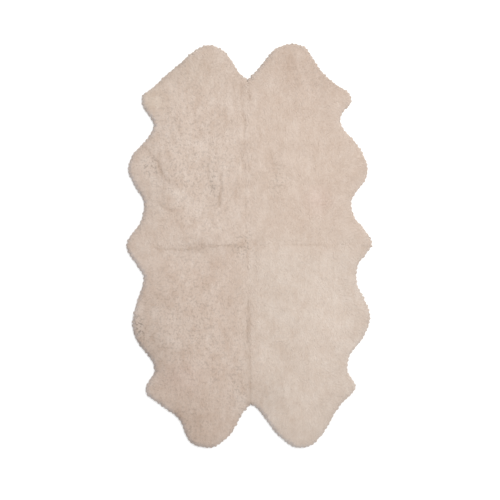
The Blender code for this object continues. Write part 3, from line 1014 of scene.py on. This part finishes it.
class SHEEPSKIN_OT_locks(Operator):
    """Lay flat locks of wool all over the four pelts"""

    bl_idname = "sheepskin.locks"
    bl_label = "Locks"

    def execute(self, context):
        fleece = context.scene.sheepskin_fleece
        values = {**LOCK_VALUES, **values_of(fleece, ("Spacing", "Length", "Rise")),
                  "Width": fleece.width / 2, "Wool": lock_material(fleece.colour)}
        lay_on_piles("locks", lock_tree(), fleece, fleece.seed, values)
        return {"FINISHED"}


class SHEEPSKIN_OT_wisps(Operator):
    """Set thin loose wisps along the rim, which soften the outline"""

    bl_idname = "sheepskin.wisps"
    bl_label = "Wisps"

    def execute(self, context):
        fleece = context.scene.sheepskin_fleece
        values = {**WISP_VALUES, "Wool": wisp_material(fleece.colour)}
        tree = bpy.data.node_groups["wool_locks"]
        lay_on_piles("wisps", tree, fleece, fleece.seed + WISP_SEED_STEP, values)
        return {"FINISHED"}


# ---------------------------------------------------------------- hides

SEWN_WIDTH = 4 * MM  # a hide's edge is lifted over about this width where it is sewn
RIPPLE_SIZE, RIPPLE_HEIGHT = 0.07, 0.4 * MM  # the flesh side's faint ripple
HIDE_SHARP_ANGLE = math.radians(50)
GRID_CLEARANCE = 0.45  # the grid stays this share of its pitch off the outline
CDT_INSIDE = 1  # the triangle fill keeps to the inside of its border
CDT_MERGE = 1e-7


def floor_outline(pelt):
    """The hide's outline, as points in order, from the CAD hide's lower face."""
    built = merged_copy(f"hide_{pelt}")
    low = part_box(f"hide_{pelt}")[0].z
    floor = {f for f in built.faces if all(v.co.z < low + 0.1 * MM for v in f.verts)}
    border = [e for e in built.edges if sum(f in floor for f in e.link_faces) == 1]
    neighbours = {}
    for edge in border:
        first, second = edge.verts
        neighbours.setdefault(first, []).append(second)
        neighbours.setdefault(second, []).append(first)
    start = border[0].verts[0]
    ring, previous, current = [start.co.xy], start, neighbours[start][0]
    while current is not start:
        ring.append(current.co.xy)
        following = next(v for v in neighbours[current] if v is not previous)
        previous, current = current, following
    built.free()
    return ring


def signed_area(ring):
    return sum(a.cross(b) for a, b in zip(ring, ring[1:] + ring[:1])) / 2


def filled(ring, pitch):
    """Places on a staggered grid inside a ring, after the ring's own, and the triangles between them."""
    low = Vector((min(p.x for p in ring), min(p.y for p in ring)))
    high = Vector((max(p.x for p in ring), max(p.y for p in ring)))
    row_step = pitch * math.sqrt(3) / 2
    grid = []
    for row in range(int((high.y - low.y) / row_step)):
        for step in range(int((high.x - low.x) / pitch) + 1):
            grid.append(low + Vector(((step + 0.5 * (row % 2)) * pitch, (row + 0.5) * row_step)))
    path = [tuple(p) for p in ring + ring[:1]]
    near = np.linalg.norm(from_path(np.array(grid), path), axis=1)
    grid = [place for place, distance in zip(grid, near) if distance > GRID_CLEARANCE * pitch]
    edges = [(index, (index + 1) % len(ring)) for index in range(len(ring))]
    places, _, faces, *_ = delaunay_2d_cdt(ring + grid, edges, [], CDT_INSIDE, CDT_MERGE)
    return [Vector(place) for place in places], faces


def hide_mesh(pelt, settings):
    """The suede sheet, flat on the floor with its sewn edges lifted a little, and its area."""
    ring = floor_outline(pelt)
    if signed_area(ring) < 0:
        ring.reverse()
    places, faces = filled(ring, settings.grid)
    low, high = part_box(f"hide_{pelt}")
    flat = np.array([(*place, 0.0) for place in places])
    out, up = seam_distances(flat, pelt)
    at_seam = np.exp(-(np.minimum(out, up) / SEWN_WIDTH) ** 2)
    ripple = np.abs(noise_at(flat, RIPPLE_SIZE)) * RIPPLE_HEIGHT
    bottom = low.z + ripple + (settings.seam_rise - ripple) * at_seam
    built = bmesh.new()
    lower = [built.verts.new((x, y, z)) for (x, y, _), z in zip(flat, bottom)]
    upper = [built.verts.new((x, y, high.z)) for x, y, _ in flat]
    for face in faces:
        built.faces.new([lower[index] for index in reversed(face)])
        built.faces.new([upper[index] for index in face])
    bmesh.ops.bridge_loops(built, edges=[e for e in built.edges if e.is_boundary])
    bmesh.ops.triangulate(built, faces=built.faces[:])
    bmesh.ops.recalc_face_normals(built, faces=built.faces[:])
    mesh = bpy.data.meshes.new(f"suede_{pelt}")
    built.to_mesh(mesh)
    built.free()
    mesh.shade_smooth()
    mesh.set_sharp_from_angle(angle=HIDE_SHARP_ANGLE)
    return mesh, signed_area(ring)


class SHEEPSKIN_OT_hides(Operator):
    """Build the suede hides of the four pelts"""

    bl_idname = "sheepskin.hides"
    bl_label = "Hides"

    def execute(self, context):
        settings = context.scene.sheepskin_hide
        material = suede_material(settings.colour)
        for pelt in PELT_SIDES:
            mesh, area = hide_mesh(pelt, settings)
            piece = add_piece(f"suede_{pelt}", mesh, material, replaced=[f"hide_{pelt}"])
        return {"FINISHED"}


# ---------------------------------------------------------------- seam stitches

STITCH_POINTS = 6
THREAD_SIDES = 4
WIDTH_PLAY, PLACE_PLAY = 0.12, 0.06
THREAD_LIFT, THREAD_BEND = 4.0, 3.0  # a stitch's ends lift by so many threads, by this power of the way out
SEAM_MARGIN = 3 * MM  # the stitches stop this far from a seam's ends
STITCH_HEIGHT, STITCH_SLANT = 0.45 * MM, 0.7

STITCH_INPUTS = {
    "Float": ("Pitch", "Width", "Thread", "Height", "Slant"),
    "Int": ("Seed",),
    "Material": ("Finish",),
}


def stitch_tree():
    """Geometry Nodes that lay slanting overcast stitches across a seam's line."""
    nodes, given = tree_with_inputs("overcast_stitches", STITCH_INPUTS)
    line = nodes.node("GeometryNodeMeshToCurve", None, {"Mesh": given["Geometry"]})
    places = nodes.node("GeometryNodeCurveToPoints", {"mode": "LENGTH"},
                        {"Curve": line, "Length": given["Pitch"]})
    along = places.output("Tangent")
    points = stored(nodes, places, VECTOR, {
        "stitch_root": position(nodes),
        "stitch_along": along,
        "stitch_across": nodes.maths("CROSS_PRODUCT", (0.0, 0.0, 1.0), along),
    })
    points = stored(nodes, points, VALUE, {
        "stitch_shift": play(nodes, given["Seed"], 1), "stitch_wide": play(nodes, given["Seed"], 2)})
    curves = strips_on(nodes, points, STITCH_POINTS)
    share = nodes.node("GeometryNodeSplineParameter") - 0.5
    width = given["Width"] * (1.0 + WIDTH_PLAY * named(nodes, "stitch_wide"))
    slant = given["Slant"] * share + PLACE_PLAY * named(nodes, "stitch_shift")
    bend = nodes.maths("POWER", nodes.maths("ABSOLUTE", share), THREAD_BEND)
    rise = given["Height"] + given["Thread"] * THREAD_LIFT * bend
    place = named(nodes, "stitch_root", VECTOR) + named(nodes, "stitch_across", VECTOR) * (width * share)
    place = place + named(nodes, "stitch_along", VECTOR) * (given["Pitch"] * slant)
    curves = moved(nodes, curves, place + joined(nodes, z=rise))
    tubes = tubes_along(nodes, curves, circle(nodes, THREAD_SIDES), given["Thread"] / 2.0)
    return finished_tree(nodes, smooth_shaded(nodes, without(nodes, tubes, "stitch_*")), given["Finish"])


def line_mesh(name, start, end):
    mesh = bpy.data.meshes.new(name)
    mesh.from_pydata([start, end], [(0, 1)], [])
    return mesh


def notch_ends():
    """Where the hides' long seam starts and ends between the necks."""
    ends = []
    for pelt, end in (("lower_left", min), ("upper_left", max)):
        ends.append(end(p.y for p in floor_outline(pelt) if abs(p.x - SEAM_X) < 1 * MM))
    return ends


class SHEEPSKIN_OT_seam_stitches(Operator):
    """Sew the pelts together along the long seam and the cross seam"""

    bl_idname = "sheepskin.seam_stitches"
    bl_label = "Seam Stitches"

    def execute(self, context):
        settings = context.scene.sheepskin_stitch
        left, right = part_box("hide_upper_left")[0].x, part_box("hide_upper_right")[1].x
        low, high = notch_ends()
        seams = {
            "long_seam_stitches": ((SEAM_X, low + SEAM_MARGIN, 0.0), (SEAM_X, high - SEAM_MARGIN, 0.0)),
            "cross_seam_stitches": ((left + SEAM_MARGIN, SEAM_Y, 0.0), (right - SEAM_MARGIN, SEAM_Y, 0.0)),
        }
        tree = stitch_tree()
        values = {**values_of(settings, ("Pitch", "Width", "Thread")), "Height": STITCH_HEIGHT,
                  "Slant": STITCH_SLANT, "Finish": thread_material(settings.colour)}
        for number, (name, (start, end)) in enumerate(seams.items()):
            values["Seed"] = number
            add_piece(name, grown(line_mesh(name, start, end), tree, values, name))
        return {"FINISHED"}


# ---------------------------------------------------------------- stage

FRAME_WIDTH = 2.250  # the camera takes in this much at the wool's level
FRAME_CENTRE = Vector((0.00475, -0.02165))  # and looks at this place, right of the cross and above it
SEAM_TILT = math.radians(0.531)  # the rug is turned this much in the picture
WOOL_PLANE = 0.012
LENS = 85.0
SENSOR = 36.0
FLOOR_HALF = 6.0
KEY_PLACE, KEY_SIZE, KEY_COLOUR = (1.8, 1.6, 3.6), 2.5, (1.0, 0.98, 0.95)


def add_camera():
    data = bpy.data.cameras.new("camera")
    data.lens = LENS
    data.sensor_width = SENSOR
    camera = bpy.data.objects.new("camera", data)
    height = FRAME_WIDTH * LENS / SENSOR
    camera.location = (SEAM_X + FRAME_CENTRE.x, SEAM_Y + FRAME_CENTRE.y, WOOL_PLANE + height)
    camera.rotation_euler = Euler((0.0, 0.0, -SEAM_TILT))
    bpy.context.scene.collection.objects.link(camera)
    bpy.context.scene.camera = camera


def add_light(power):
    """A large square soft light that faces the rug."""
    data = bpy.data.lights.new("key", "AREA")
    data.size = KEY_SIZE
    data.energy = power
    data.color = KEY_COLOUR
    light = bpy.data.objects.new("key", data)
    light.location = KEY_PLACE
    light.rotation_euler = (-Vector(KEY_PLACE)).to_track_quat("-Z", "Y").to_euler()
    bpy.context.scene.collection.objects.link(light)


def add_floor(colour):
    mesh = bpy.data.meshes.new("floor")
    corners = [(x * FLOOR_HALF, y * FLOOR_HALF, 0.0) for x, y in ((-1, -1), (1, -1), (1, 1), (-1, 1))]
    mesh.from_pydata(corners, [], [(0, 1, 2, 3)])
    material, shader, _ = new_material("floor", 0.9)
    shader.inputs["Base Color"].default_value = (*colour, 1.0)
    mesh.materials.append(material)
    floor = bpy.data.objects.new("floor", mesh)
    bpy.context.scene.collection.objects.link(floor)


class SHEEPSKIN_OT_stage(Operator):
    """Set out the pale floor, the soft light and the camera above the rug"""

    bl_idname = "sheepskin.stage"
    bl_label = "Stage"

    def execute(self, context):
        settings = context.scene.sheepskin_stage
        add_floor(settings.floor_colour)
        add_camera()
        add_light(settings.key)
        world = bpy.data.worlds.new("studio")
        world.use_nodes = True
        background = world.node_tree.nodes["Background"]
        background.inputs["Color"].default_value = (1.0, 1.0, 1.0, 1.0)
        background.inputs["Strength"].default_value = settings.sky
        context.scene.world = world
        context.scene.view_settings.view_transform = "Standard"
        return {"FINISHED"}


class SHEEPSKIN_PT_rug(Panel):
    """The rug's pieces and their sizes"""

    bl_idname = "SHEEPSKIN_PT_rug"
    bl_label = "Sheepskin Rug"
    bl_space_type = "VIEW_3D"
    bl_region_type = "UI"
    bl_category = "Sheepskin Rug"

    def draw(self, context):
        scene = context.scene
        for operator, group in STEPS:
            box = self.layout.box()
            settings = getattr(scene, group)
            for name in settings.__annotations__:
                box.prop(settings, name)
            box.operator(operator.bl_idname)


SETTINGS = {
    "sheepskin_fleece": FleeceSettings,
    "sheepskin_hide": HideSettings,
    "sheepskin_stitch": StitchSettings,
    "sheepskin_stage": StageSettings,
}
STEPS = (
    (SHEEPSKIN_OT_stage, "sheepskin_stage"),
    (SHEEPSKIN_OT_pile, "sheepskin_fleece"),
    (SHEEPSKIN_OT_locks, "sheepskin_fleece"),
    (SHEEPSKIN_OT_wisps, "sheepskin_fleece"),
    (SHEEPSKIN_OT_hides, "sheepskin_hide"),
    (SHEEPSKIN_OT_seam_stitches, "sheepskin_stitch"),
)
CLASSES = (*SETTINGS.values(), *(operator for operator, _ in STEPS), SHEEPSKIN_PT_rug)


def register():
    for made in CLASSES:
        bpy.utils.register_class(made)
    for name, group in SETTINGS.items():
        setattr(bpy.types.Scene, name, PointerProperty(type=group))


def unregister():
    for name in SETTINGS:
        delattr(bpy.types.Scene, name)
    for made in reversed(CLASSES):
        bpy.utils.unregister_class(made)


def main():
    register()
    for operator, _ in STEPS:
        group, name = operator.bl_idname.split(".")
        getattr(getattr(bpy.ops, group), name)()


if __name__ == "__main__":
    main()
